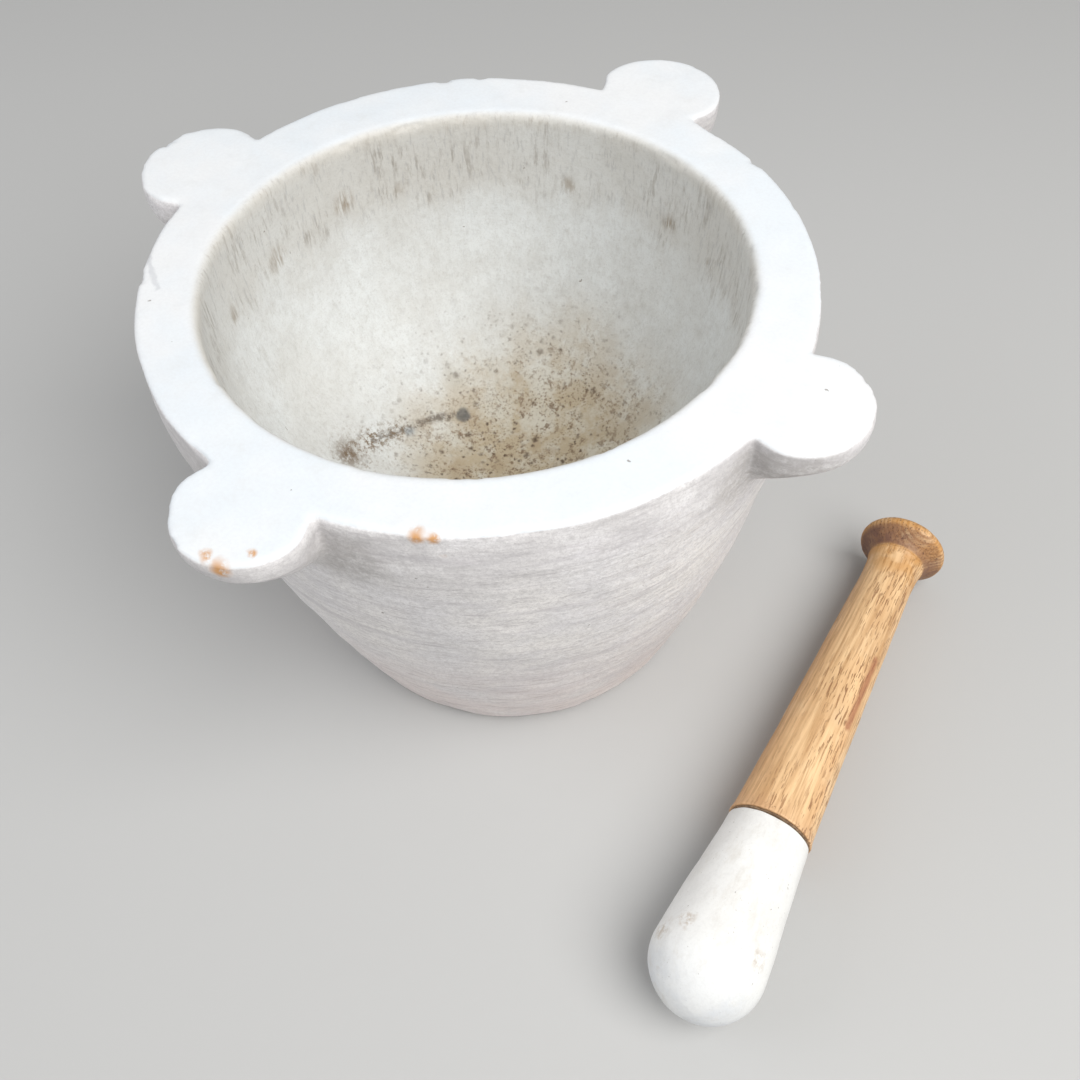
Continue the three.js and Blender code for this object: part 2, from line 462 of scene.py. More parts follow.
def bowl_profile(count):
    """(radius, z) down the inside of the bowl, evenly spaced."""
    turn = np.linspace(math.pi / 2, 0, 400)
    radius = BOWL_RADIUS * np.sin(turn) ** (2 / BOWL_POWER)
    depth = BOWL_DEPTH * np.cos(turn) ** (2 / BOWL_POWER)
    keep = depth > INNER_EDGE
    start = [[BOWL_RADIUS, HEIGHT - INNER_EDGE]]
    dense = np.vstack([start, np.stack([radius[keep], HEIGHT - depth[keep]], axis=1)])
    return resample(dense, count + 1)[:-1]


def around(count):
    """`count` even directions in a full turn, in radians."""
    return np.arange(count) / count * 2 * math.pi


def body_rows():
    """Rings of the mortar without its lugs: from the middle of the foot, up the outside, over the
    rim and down to the bowl's floor."""
    angles = around(MORTAR_COLUMNS)
    quarter = np.linspace(0, math.pi / 2, EDGE_RINGS)
    rows = [ring_at(angles, share * FOOT_RADIUS, 0.0) for share in (0.1, 0.4, 0.7, 0.9)]
    for turn in quarter[:-1]:
        back = FOOT_ROUND * (1 - math.sin(turn))
        rows.append(ring_at(angles, FOOT_RADIUS - back, FOOT_ROUND * (1 - math.cos(turn))))
    for z in np.linspace(FOOT_ROUND, HEIGHT - OUTER_EDGE, BODY_RINGS):
        rows.append(ring_at(angles, body_radius(z), z))
    for turn in quarter[1:]:
        z = HEIGHT - OUTER_EDGE * (1 - math.sin(turn))
        rows.append(ring_at(angles, RIM_RADIUS - OUTER_EDGE * (1 - math.cos(turn)), z))
    shift = np.append(BOWL_SHIFT, 0)
    mouth = bowl_radius(angles, BOWL_RADIUS)
    for turn in quarter:
        ring = ring_at(angles, mouth + INNER_EDGE * (1 - math.sin(turn)), HEIGHT) + shift
        ring[:, 2] = HEIGHT - INNER_EDGE * (1 - math.cos(turn))
        rows.append(ring)
    for radius, z in bowl_profile(BOWL_RINGS):
        ring = ring_at(angles, bowl_radius(angles, radius), HEIGHT) + shift * (radius / BOWL_RADIUS)
        ring[:, 2] = z
        rows.append(ring)
    return np.array(rows)


def lug_rows(lug):
    """Rings of one lug, upwards: a leaning cone, then the upright ear with a rounded top edge."""
    degrees, reach, radius = lug
    angles = around(LUG_COLUMNS)
    bottom = HEIGHT - LUG_SIDE - LUG_DROP
    levels = [(z, 0.0) for z in np.linspace(bottom, HEIGHT - OUTER_EDGE, LUG_RINGS)]
    for turn in np.linspace(0, math.pi / 2, EDGE_RINGS)[1:]:
        levels.append((HEIGHT - OUTER_EDGE * (1 - math.sin(turn)), OUTER_EDGE * (1 - math.cos(turn))))
    rows = []
    for z, back in levels:
        below = HEIGHT - LUG_SIDE - z
        drop = (below + math.hypot(below, LUG_BEND)) / 2
        size = radius - LUG_TAPER * drop - back
        x = reach - radius - LUG_LEAN * drop + size * np.cos(angles)
        y = size * np.sin(angles)
        y *= 1 - LUG_PINCH * smooth_step(LUG_PINCH_START, LUG_PINCH_FULL, x)
        far = np.hypot(x, y)
        keep = np.maximum(far, LUG_INNER) / far
        rows.append(np.stack([x * keep, y * keep, np.full_like(x, z)], axis=1))
    turn = math.radians(degrees)
    spin = np.array([[math.cos(turn), math.sin(turn), 0], [-math.sin(turn), math.cos(turn), 0], [0, 0, 1]])
    return np.array(rows) @ spin


def fuse(pieces, name, grain):
    """One even, closed mesh around all the pieces, which are used up."""
    shell = bmesh.new()
    for piece in pieces:
        shell.from_mesh(piece.data)
        bpy.data.objects.remove(piece)
    mesh = bpy.data.meshes.new(name)
    shell.to_mesh(mesh)
    shell.free()
    whole = bpy.data.objects.new(name, mesh)
    bpy.context.scene.collection.objects.link(whole)
    remesh = whole.modifiers.new("fuse", "REMESH")
    remesh.mode = "VOXEL"
    remesh.voxel_size = grain
    graph = bpy.context.evaluated_depsgraph_get()
    fused = bpy.data.meshes.new_from_object(whole.evaluated_get(graph))
    whole.modifiers.clear()
    whole.data = fused
    fused.shade_smooth()
    return whole


def per_vertex(items, field):
    """Three numbers for each of a mesh's vertices or vertex normals."""
    values = np.empty(len(items) * 3, np.float32)
    items.foreach_get(field, values)
    return values.reshape(-1, 3).astype(float)


def move_vertices(mesh, places):
    mesh.vertices.foreach_set("co", places.astype(np.float32).ravel())
    mesh.update()


def soften(mesh, passes):
    """Moves every vertex halfway to the middle of its neighbours, several times."""
    edges = np.empty(len(mesh.edges) * 2, np.int32)
    mesh.edges.foreach_get("vertices", edges)
    start, end = edges.reshape(-1, 2).T
    places = per_vertex(mesh.vertices, "co")
    count = len(places)
    share = np.bincount(start, minlength=count) + np.bincount(end, minlength=count)
    for _ in range(passes):
        total = np.empty_like(places)
        for k in range(3):
            total[:, k] = np.bincount(start, places[end, k], count)
            total[:, k] += np.bincount(end, places[start, k], count)
        places = 0.5 * places + 0.5 * total / share[:, None]
    move_vertices(mesh, places)


BARE_FLOOR = 8 * MM             # the inside reaches this far below the bowl's floor
TOP_LOW = HEIGHT - 12 * MM      # the flat top fades in between these two heights
TOP_HIGH = HEIGHT - 8 * MM


def regions(places, normals):
    """For each vertex: how far it lies inside the bowl, and how far on the flat top."""
    x, y, z = places.T
    far = np.hypot(x - BOWL_SHIFT[0], y - BOWL_SHIFT[1])
    mouth = bowl_radius(np.arctan2(y, x), BOWL_RADIUS)
    depth = np.clip((HEIGHT - z) / BOWL_DEPTH, 0, 1)
    wall = BOWL_RADIUS * (1 - depth ** BOWL_POWER) ** (1 / BOWL_POWER)
    within = far < (wall + body_radius(z)) / 2
    lip = smooth_step(INNER_EDGE, 0, far - mouth)
    inside = np.where(within & (z > HEIGHT - BOWL_DEPTH - BARE_FLOOR), lip, 0.0)
    top = smooth_step(0.25, 0.8, normals[:, 2]) * smooth_step(TOP_LOW, TOP_HIGH, z)
    return inside, top * (1 - inside)


# Unevenness cut into the marble: depth, size across and seed
WAVES = (0.9 * MM, 0.09, 11)
RIPPLES = (0.24 * MM, 0.006, 23)
PECKS = (0.14 * MM, 0.007, 29)
DENTS = (0.30 * MM, 0.03, 41)
NIBBLES = (1.3 * MM, 0.011, 61)
CHIP_SEED = 57
CALM_INSIDE = 0.35              # share of the waves' depth left inside and on the top
FOOT_CALM = 6 * MM              # the unevenness fades out over this height above the foot
LEVEL_GRAIN = np.array([0.35, 0.35, 1.0])
STEEP_GRAIN = np.array([1.0, 1.0, 0.3])

# Chips knocked out of the edges: direction in degrees, distance from the axis, height, size, depth
CHIPS = [
    (131.0, 160 * MM, HEIGHT, 5 * MM, 1.6 * MM),
    (124.0, 160 * MM, HEIGHT, 4 * MM, 1.3 * MM),
    (62.0, 161 * MM, HEIGHT, 6 * MM, 1.2 * MM),
    (310.0, 160 * MM, HEIGHT, 5 * MM, 1.0 * MM),
    (181.0, 202 * MM, HEIGHT - 3 * MM, 10 * MM, 3.6 * MM),
    (215.0, 160 * MM, HEIGHT, 4 * MM, 1.0 * MM),
    (330.0, 112 * MM, 1 * MM, 8 * MM, 2.0 * MM),
    (70.0, 112 * MM, 1 * MM, 7 * MM, 1.6 * MM),
    (200.0, 108 * MM, 1 * MM, 9 * MM, 1.8 * MM),
]


def carve(places, normals, inside, top):
    """Hand-cut unevenness: slow waves, tool ripples and chipped edges."""
    height = places[:, 2]
    outside = (1 - inside) * (1 - top)
    lift = bumps(places, WAVES) * (CALM_INSIDE + (1 - CALM_INSIDE) * outside)
    lift += bumps(places * LEVEL_GRAIN, RIPPLES, 2) * outside
    lift += bumps(places * STEEP_GRAIN, PECKS, 2) * inside
    lift += bumps(places, DENTS)
    for degrees, radius, z, size, depth in CHIPS:
        turn = math.radians(degrees)
        at = np.array([radius * math.cos(turn), radius * math.sin(turn), z])
        close = np.linalg.norm(places - at, axis=1) < 2 * size
        wobble = 1 + 0.35 * rough(places[close], size * 0.6, CHIP_SEED)
        far = np.linalg.norm(places[close] - at, axis=1) / (size * wobble)
        lift[close] -= depth * np.clip(1 - far ** 2, 0, 1) ** 1.5
    edge = 4 * normals[:, 2] * (1 - normals[:, 2]) * smooth_step(HEIGHT - 9 * MM, HEIGHT - 4 * MM, height)
    depth, size, seed = NIBBLES
    nibbles = np.clip(rough(places, size, seed) - 0.15, 0, 1)
    lift -= depth * nibbles * np.clip(edge, 0, 1)
    lift *= smooth_step(0, FOOT_CALM, height)
    places = places + normals * lift[:, None]
    places[:, 2] = np.maximum(places[:, 2], 0)
    return places


# Rust marks: place and size
RUST = [
    ((0.006, -0.194, HEIGHT - 0.001), 4 * MM),
    ((0.014, -0.196, HEIGHT - 0.002), 7 * MM),
    ((0.021, -0.184, HEIGHT), 3 * MM),
    ((0.069, -0.143, HEIGHT - 0.002), 5 * MM),
    ((0.075, -0.141, HEIGHT - 0.002), 3.5 * MM),
    ((0.079, -0.142, HEIGHT - 0.012), 4 * MM),
]

# Painted shade, grey, in the creases where the lugs meet the side
SHADED_CREASES = [
    (0.156, -0.034, 0.219),
    (0.172, -0.027, 0.233),
    (0.032, -0.156, 0.219),
    (0.156, 0.034, 0.219),
    (-0.034, -0.156, 0.219),
    (-0.156, 0.030, 0.219),
    (-0.156, -0.045, 0.219),
    (-0.033, 0.156, 0.219),
    (0.037, 0.156, 0.219),
]

# The dirty crack in the bowl's floor
CRACK = [
    (-0.075, -0.041, 0.105),
    (-0.073, -0.020, 0.100),
    (-0.067, -0.002, 0.095),
    (-0.057, 0.019, 0.091),
    (-0.045, 0.032, 0.089),
]

# Brown smudges high on the bowl's wall: place and size
SMUDGES = [
    ((-0.122, -0.012, 0.205), 11 * MM),
    ((-0.112, -0.056, 0.206), 9 * MM),
    ((-0.106, 0.070, 0.208), 8 * MM),
    ((-0.118, 0.038, 0.212), 10 * MM),
    ((-0.025, 0.124, 0.205), 8 * MM),
    ((0.040, 0.119, 0.207), 9 * MM),
    ((0.072, 0.102, 0.204), 7 * MM),
]


# Colours of the marble, of the dirt on it and of painted shade, linear
STONE_COOL = (0.735, 0.78, 0.82)
STONE_WARM = (0.79, 0.80, 0.81)
STONE_PATCH = (0.66, 0.67, 0.67)
STONE_GRAIN = (0.62, 0.62, 0.64)
STONE_VEIN = (0.45, 0.46, 0.49)
SIDE_COOL = (0.82, 0.805, 0.815)
SIDE_WARM = (0.91, 0.885, 0.865)
TOOL_BAND = (0.54, 0.515, 0.545)
TOOL_LINE = (0.48, 0.45, 0.465)
TOOL_RIDGE = (0.90, 0.88, 0.88)
SIDE_CHALK = (0.52, 0.50, 0.50)
SIDE_NICK = (0.92, 0.91, 0.90)
FOOT_PINK = (0.76, 0.64, 0.61)
FOOT_LINE = (0.43, 0.37, 0.36)
RIM_SHADE = (0.50, 0.485, 0.50)
CREASE_SHADE = (0.40, 0.38, 0.365)
WALL_COOL = (0.73, 0.75, 0.75)
WALL_WARM = (0.67, 0.675, 0.66)
WALL_MOTTLE = (0.50, 0.49, 0.46)
WALL_BAND = (0.585, 0.57, 0.535)
WALL_RUN = (0.30, 0.27, 0.235)
WALL_SCRATCH = (0.40, 0.40, 0.40)
WALL_SPECKLE = (0.40, 0.38, 0.34)
LIP_BEIGE = (0.70, 0.66, 0.59)
SMUDGE_BROWN = (0.24, 0.175, 0.11)
FLOOR_TAN = (0.57, 0.50, 0.36)
FLOOR_STAIN = (0.41, 0.295, 0.15)
FLOOR_BLOTCH = (0.37, 0.265, 0.155)
FLOOR_GRIT = (0.19, 0.12, 0.07)
FLOOR_SPECK = (0.085, 0.05, 0.03)
FLOOR_GREY = (0.34, 0.34, 0.29)
CRACK_DIRT = (0.12, 0.09, 0.065)
CRACK_TRAIL = (0.18, 0.12, 0.065)
CRACK_DUST = (0.22, 0.15, 0.09)
CRACK_HOLE = (0.12, 0.12, 0.115)
CRACK_BLUE = (0.22, 0.27, 0.31)
CRACK_TAIL = (0.15, 0.095, 0.05)
RUST_ORANGE = (0.58, 0.29, 0.10)
DARK_SPECK = (0.20, 0.17, 0.14)

# Single marks on the marble: places in metres
VEIN = ((-0.143, -0.074, HEIGHT), (-0.119, -0.091, HEIGHT))
STAIN_PLACE = (0.012, 0.030, 0.086)
STAIN_REACH = 0.108
SPECKS_PLACE = (-0.002, 0.030, 0.085)
SPECKS_REACH = 0.126
DUST_END = (-0.030, 0.050, 0.088)
BLUE_PLACE = (-0.062, 0.002, 0.093)
GREY_PLACE = (-0.062, 0.048, 0.096)


def level_grain(paint):
    """The position squeezed so that noise runs level round the outside, very slightly askew."""
    return paint.stretched((0.10, 0.10, 1.0), rotation=(2.5, -2, 0))


def clean_stone(paint):
    """White stone with soft bluish and warm clouds and one faint vein."""
    clouds = paint.noise(0.09, 4, 0.6)
    stone = paint.mix(paint.ramp(clouds, 0.35, 0.65), STONE_COOL, STONE_WARM)
    patches = paint.noise(0.013, 5, 0.65)
    stone = paint.mix(paint.ramp(patches, 0.5, 0.8, 0.0, 0.35), stone, STONE_PATCH)
    grain = paint.noise(0.0016, 2, 0.6)
    stone = paint.mix(paint.ramp(grain, 0.3, 0.7, 0.0, 0.16), stone, STONE_GRAIN)
    vein = paint.line(*VEIN, 2 * MM, 0.002)
    return paint.over(stone, STONE_VEIN, vein, 0.4)


def tooled_side(paint, height):
    """Unpolished outside: chalky, with faint level tool lines, pinker stone towards the foot, and painted
    shade under the rim and in the creases by the lugs.
    """
    level = level_grain(paint)
    clouds = paint.noise(0.045, 5, 0.62)
    side = paint.mix(paint.ramp(clouds, 0.35, 0.65), SIDE_COOL, SIDE_WARM)
    bands = paint.ramp(paint.noise(0.009, 4, 0.6, level, 0.4), 0.45, 0.72)
    side = paint.over(side, TOOL_BAND, bands, 0.48)
    lines = paint.ramp(paint.noise(0.0020, 3, 0.6, level), 0.52, 0.72)
    side = paint.over(side, TOOL_LINE, lines, 0.55)
    pale = paint.ramp(paint.noise(0.0034, 3, 0.6, level), 0.30, 0.44, 1.0, 0.0)
    side = paint.over(side, TOOL_RIDGE, pale, 0.45)
    for size, strength in ((0.0026, 0.40), (0.0010, 0.35)):
        chalk = paint.ramp(paint.noise(size, 4, 0.7), 0.44, 0.62)
        side = paint.over(side, SIDE_CHALK, chalk, strength)
    nicks = paint.ramp(paint.noise(0.0016, 2, 0.5, paint.stretched((0.4, 0.4, 1.0))), 0.66, 0.72)
    side = paint.over(side, SIDE_NICK, nicks, 0.5)
    low = paint.times(paint.ramp(height, 0.15, 0.0), paint.ramp(paint.noise(0.05, 3), 0.35, 0.6, 0.3, 1.0))
    side = paint.over(side, FOOT_PINK, low, 0.5)
    side = paint.over(side, FOOT_LINE, lines, low, 0.6)
    # painted shade: a darker grey band just under the rim, where the rim shades the side
    under_rim_shade = paint.ramp(height, HEIGHT - 0.06, HEIGHT - 0.012)
    under_rim_shade = paint.times(under_rim_shade, paint.ramp(clouds, 0.40, 0.58))
    side = paint.over(side, RIM_SHADE, under_rim_shade, 0.5)
    # painted shade in the creases where the lugs meet the side, broken up by noise
    dust_and_shade = paint.ramp(paint.noise(0.004, 4, 0.7), 0.35, 0.6, 0.25, 0.6)
    for place in SHADED_CREASES:
        crease_shade = paint.near(place, 0.030, 0.8)
        side = paint.over(side, CREASE_SHADE, crease_shade, dust_and_shade)
    return side


def bowl_wall(paint, height):
    """Inside: beige and grey under the lip, cleaner below, with fine marks running down."""
    down = paint.stretched((1.0, 1.0, 0.16))
    slant = paint.stretched((1.0, 1.0, 0.22), rotation=(14, -12, 0))
    soft = paint.noise(0.05, 4, 0.6)
    wall = paint.mix(paint.ramp(soft, 0.35, 0.65), WALL_COOL, WALL_WARM)
    mottle = paint.ramp(paint.noise(0.008, 6, 0.75), 0.42, 0.62)
    wall = paint.over(wall, WALL_MOTTLE, mottle, 0.22)
    uneven = paint.math("ADD", height, paint.times(paint.noise(0.03, 6, 0.72, down), 0.050))
    band = paint.ramp(uneven, HEIGHT - 0.034, HEIGHT - 0.012)
    band = paint.times(band, paint.ramp(paint.noise(0.045, 3), 0.3, 0.65, 0.65, 1.0))
    wall = paint.over(wall, WALL_BAND, band, 0.72)
    runs = paint.noise(0.0026, 5, 0.7, down)
    crowd = paint.ramp(paint.noise(0.03, 4, 0.6), 0.40, 0.60)
    marks = paint.times(paint.ramp(runs, 0.48, 0.66), paint.math("MULTIPLY_ADD", band, 0.62, 0.14), crowd)
    wall = paint.mix(marks, wall, WALL_RUN)
    scratches = paint.ramp(paint.noise(0.0017, 3, 0.6, slant), 0.54, 0.68)
    depth = paint.math("MULTIPLY_ADD", band, 0.30, 0.14)
    wall = paint.over(wall, WALL_SCRATCH, scratches, depth)
    for size, strength in ((0.0034, 0.18), (0.0012, 0.26)):
        speckle = paint.ramp(paint.noise(size, 4, 0.75), 0.50, 0.68)
        wall = paint.over(wall, WALL_SPECKLE, speckle, strength)
    lip = paint.ramp(height, HEIGHT - 0.012, HEIGHT - 0.002)
    wall = paint.over(wall, LIP_BEIGE, lip, paint.ramp(soft, 0.3, 0.6, 0.16, 0.4))
    blots = paint.ramp(paint.noise(0.003, 4, 0.65, down), 0.40, 0.60)
    for place, size in SMUDGES:
        wall = paint.over(wall, SMUDGE_BROWN, paint.near(place, size, 0.95), blots, 0.75)
    return wall


def used_floor(paint, wall):
    """Brown staining from use on the bowl's floor: tan blotches, dark specks and a dirty crack."""
    reach = paint.near(STAIN_PLACE, STAIN_REACH, 0.72)
    broken = paint.noise(0.024, 6, 0.72)
    stain = paint.times(reach, paint.ramp(broken, 0.38, 0.58))
    wall = paint.over(wall, FLOOR_TAN, reach, 0.6)
    wall = paint.over(wall, FLOOR_STAIN, stain, 0.6)
    tan = paint.dots(0.016, 0.30, 0.5, 0.45)
    wall = paint.over(wall, FLOOR_BLOTCH, tan, reach, 0.40)
    crowd = paint.times(reach, paint.ramp(paint.noise(0.017, 4, 0.7), 0.36, 0.55))
    for size, low, high in ((0.0055, 0.57, 0.66), (0.0028, 0.56, 0.64), (0.0015, 0.56, 0.66)):
        grit = paint.ramp(paint.noise(size, 3, 0.65), low, high)
        wall = paint.over(wall, FLOOR_GRIT, grit, crowd, 0.75)
    wide = paint.near(SPECKS_PLACE, SPECKS_REACH, 0.8)
    where = paint.times(wide, paint.ramp(broken, 0.40, 0.54, 0.0, 0.9))
    for size, share in ((0.0030, 0.42), (0.0060, 0.45)):
        specks = paint.dots(size, 0.22, share, 0.7)
        wall = paint.over(wall, FLOOR_SPECK, specks, where)
    crack = 0.0
    for start, end in zip(CRACK[1:], CRACK[2:]):
        crack = paint.math("MAXIMUM", paint.line(start, end, 0.0040, 0.0025), crack)
    dirt = paint.ramp(paint.noise(0.0045, 4, 0.75), 0.36, 0.60)
    wall = paint.over(wall, CRACK_DIRT, crack, dirt, 0.85)
    grit = paint.ramp(paint.noise(0.0030, 4, 0.75), 0.48, 0.60)
    for start, end in zip(CRACK[:2], CRACK[1:]):
        trail = paint.line(start, end, 0.011, 0.0025)
        wall = paint.over(wall, CRACK_TRAIL, trail, grit, 0.7)
    halo = paint.line(CRACK[0], DUST_END, 0.022, 0.006)
    dust_and_shade = paint.ramp(paint.noise(0.0026, 5, 0.75), 0.53, 0.66, 0.0, 0.65)
    wall = paint.over(wall, CRACK_DUST, halo, dust_and_shade)
    hole = paint.near(CRACK[-1], 0.0055, 0.5)
    wall = paint.over(wall, CRACK_HOLE, hole, 0.8)
    blue = paint.near(BLUE_PLACE, 0.005, 0.9)
    wall = paint.over(wall, CRACK_BLUE, blue, 0.6)
    tail = paint.near(CRACK[0], 0.016, 0.9)
    wall = paint.over(wall, CRACK_TAIL, tail, dirt, 0.85)
    grey = paint.near(GREY_PLACE, 0.012, 1.0)
    return paint.over(wall, FLOOR_GREY, grey, 0.4)


def marble_material():
    """Clean stone on the flat top, tooled stone outside, and the used bowl inside."""
    paint = Paint("worn_white_marble")
    inside = paint.attribute("inside")
    up = paint.attribute("top")
    height = paint.height()
    outside = paint.math("SUBTRACT", paint.math("SUBTRACT", 1.0, inside), up, clamp=True)
    stone = clean_stone(paint)
    stone = paint.mix(outside, stone, tooled_side(paint, height))
    wall = used_floor(paint, bowl_wall(paint, height))
    stone = paint.mix(inside, stone, wall)
    blots = paint.ramp(paint.noise(0.004, 4, 0.65), 0.26, 0.50)
    for place, size in RUST:
        stone = paint.over(stone, RUST_ORANGE, paint.near(place, size, 0.8), blots, 0.95)
    specks = paint.dots(0.013, 0.045, 0.35, 0.3)
    stone = paint.over(stone, DARK_SPECK, specks, 0.7)

    paint.feed(paint.shader["Base Color"], stone)
    paint.feed(paint.shader["Roughness"], paint.ramp(paint.noise(0.02, 3), 0.3, 0.7, 0.50, 0.68))
    paint.shader["Specular IOR Level"].default_value = 0.4
    level = level_grain(paint)
    paint.bump([
        (paint.times(paint.noise(0.0028, 4, 0.6, level), outside), 0.30 * MM),
        (paint.times(paint.noise(0.0024, 4, 0.7), outside), 0.30 * MM),
        (paint.times(paint.noise(0.0030, 4, 0.65), inside), 0.22 * MM),
        (paint.noise(0.0030, 4, 0.6), 0.10 * MM),
    ])
    return paint.material


def add_mortar():
    pieces = [loft("body", body_rows())]
    pieces += [loft("lug", lug_rows(lug)) for lug in LUGS]
    mortar = fuse(pieces, "mortar_stone", MORTAR_GRAIN)
    soften(mortar.data, MORTAR_WEAR)
    places = per_vertex(mortar.data.vertices, "co")
    normals = per_vertex(mortar.data.vertex_normals, "vector")
    inside, top = regions(places, normals)
    move_vertices(mortar.data, carve(places, normals, inside, top))
    store(mortar, "inside", inside)
    store(mortar, "top", top)
    mortar.data.materials.append(marble_material())
    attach(mortar, "mortar")
    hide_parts("mortar_bowl")


# ---- Pestle ----

def pestle_matrix():
    """Lays the pestle, modelled upright from its tip, on the floor beside the mortar."""
    droop = math.asin((HEAD_RADIUS - KNOB_RADIUS) / (KNOB_MIDDLE - HEAD_WIDEST))
    tip_height = HEAD_RADIUS / math.cos(droop) + HEAD_WIDEST * math.tan(droop)
    lying = Matrix.Rotation(math.pi / 2 + droop, 4, "Y")
    turned = Matrix.Rotation(math.radians(PESTLE_DEGREES), 4, "Z")
    return Matrix.Translation((*PESTLE_TIP, tip_height)) @ turned @ lying


def turned_rows(profile):
    """Rings about the pestle's axis from (radius, distance) points."""
    angles = around(PESTLE_COLUMNS)
    radius, along = np.asarray(profile, float).T
    x = radius[:, None] * np.cos(angles)
    y = radius[:, None] * np.sin(angles)
    return np.stack([x, y, np.repeat(along[:, None], PESTLE_COLUMNS, axis=1)], axis=-1)


def quarter_arc(radius, along, size, start, end, steps=5):
    """Points of an arc of the given size about (radius, along), between two angles in degrees."""
    turns = np.radians(np.linspace(start, end, steps))
    return np.stack([radius + size * np.cos(turns), along + size * np.sin(turns)], axis=1)


def place_pestle_piece(piece, node):
    """Lays a piece down as part of the pestle, in place of its CAD node."""
    piece.matrix_world = pestle_matrix()
    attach(piece, "pestle")
    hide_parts(node)


def head_profile():
    """(radius, distance from the tip) over the head's outside and down into its socket."""
    turn = np.linspace(0.02, math.pi / 2, HEAD_RINGS)
    tip = np.stack([HEAD_RADIUS * np.sin(turn), HEAD_WIDEST * (1 - np.cos(turn))], axis=1)
    t = np.linspace(0, 1, HEAD_RINGS)[1:]
    fall = t * (0.55 + t * (1.15 - 0.7 * t))
    radius = HEAD_RADIUS + (JOINT_RADIUS - HEAD_RADIUS) * fall
    taper = np.stack([radius, HEAD_WIDEST + (HEAD_LENGTH - HEAD_LIP - HEAD_WIDEST) * t], axis=1)
    lip = quarter_arc(JOINT_RADIUS - HEAD_LIP, HEAD_LENGTH - HEAD_LIP, HEAD_LIP, 15, 90)
    face = [[r * MM, HEAD_LENGTH] for r in (20, 18, 16, 14)]
    bottom = HEAD_LENGTH - SOCKET_DEPTH
    socket = [[SOCKET_RADIUS, z] for z in np.linspace(HEAD_LENGTH, bottom, BORE_RINGS)]
    floor = [[SOCKET_RADIUS * share, bottom] for share in (0.7, 0.4, 0.1)]
    return np.vstack([tip, taper, lip, face, socket, floor])


# Colours of the pestle's stone and cement, linear
HEAD_WHITE = (0.83, 0.83, 0.815)
HEAD_CREAM = (0.77, 0.765, 0.745)
HEAD_COOL = (0.68, 0.71, 0.75)
HEAD_GRAIN = (0.58, 0.57, 0.55)
HEAD_SMEAR = (0.54, 0.49, 0.41)
HEAD_BROWN = (0.40, 0.29, 0.18)
HEAD_SPECK = (0.24, 0.20, 0.16)
CEMENT_DARK = (0.13, 0.075, 0.04)
CEMENT_PALE = (0.30, 0.20, 0.12)

# Brown smudges on the pestle's head, along its own axis: place and size
HEAD_SMUDGES = [
    ((-0.015, 0.025, 0.028), 9 * MM),
    ((-0.023, 0.016, 0.034), 8 * MM),
    ((-0.019, -0.022, 0.035), 8 * MM),
    ((-0.012, 0.019, 0.010), 3 * MM),
    ((0.018, 0.020, 0.040), 9 * MM),
    ((0.020, -0.012, 0.012), 7 * MM),
]


def head_material():
    """Smooth white stone, cooler at the tip, with smears, smudges and specks."""
    paint = Paint("smooth_white_stone")
    height = paint.height()
    clouds = paint.noise(0.03, 4, 0.6)
    stone = paint.mix(paint.ramp(clouds, 0.35, 0.7), HEAD_WHITE, HEAD_CREAM)
    cool = paint.times(paint.ramp(height, 34 * MM, 8 * MM), paint.ramp(clouds, 0.4, 0.6, 0.4, 1.0))
    stone = paint.over(stone, HEAD_COOL, cool, 0.7)
    grain = paint.ramp(paint.noise(0.0018, 4, 0.7), 0.45, 0.65)
    stone = paint.over(stone, HEAD_GRAIN, grain, 0.14)
    smear = paint.stretched((1.0, 1.0, 0.45), rotation=(25, 10, 0))
    dirt = paint.ramp(paint.noise(0.012, 5, 0.7, smear), 0.52, 0.72)
    stone = paint.over(stone, HEAD_SMEAR, dirt, 0.30)
    blots = paint.ramp(paint.noise(0.004, 5, 0.7), 0.42, 0.62)
    for place, size in HEAD_SMUDGES:
        stone = paint.over(stone, HEAD_BROWN, paint.near(place, size, 0.95), blots, 0.6)
    specks = paint.ramp(paint.noise(0.0016, 3, 0.6), 0.68, 0.74)
    stone = paint.over(stone, HEAD_SPECK, specks, 0.6)
    paint.feed(paint.shader["Base Color"], stone)
    paint.feed(paint.shader["Roughness"], paint.ramp(paint.noise(0.012, 3), 0.3, 0.7, 0.36, 0.52))
    paint.bump([(paint.noise(0.004, 4, 0.6), 0.14 * MM), (paint.noise(0.001, 2), 0.05 * MM)])
    return paint.material


def add_head():
    rows = turned_rows(head_profile())
    normal = grid_normals(rows)
    shown = smooth_step(SOCKET_RADIUS, SOCKET_RADIUS + 4 * MM, np.hypot(rows[..., 0], rows[..., 1]))
    shown = np.maximum(shown, smooth_step(40 * MM, 20 * MM, rows[..., 2]))
    lift = (hollows(rows, HEAD_WAVES) + bumps(rows, HEAD_BUMPS)) * shown
    rows = rows + normal * lift[..., None]
    head = loft("pestle_stone_head", rows)
    head.data.materials.append(head_material())
    place_pestle_piece(head, "pestle_head")


def cement_material():
    """Lumpy brown resin."""
    paint = Paint("brown_resin_cement")
    lumps = paint.ramp(paint.noise(0.003, 4, 0.6), 0.35, 0.65)
    color = paint.mix(lumps, CEMENT_DARK, CEMENT_PALE)
    paint.feed(paint.shader["Base Color"], color)
    paint.feed(paint.shader["Roughness"], paint.ramp(paint.noise(0.002, 3), 0.3, 0.7, 0.55, 0.85))
    paint.bump([(paint.noise(0.0012, 4, 0.6), 0.25 * MM)])
    return paint.material


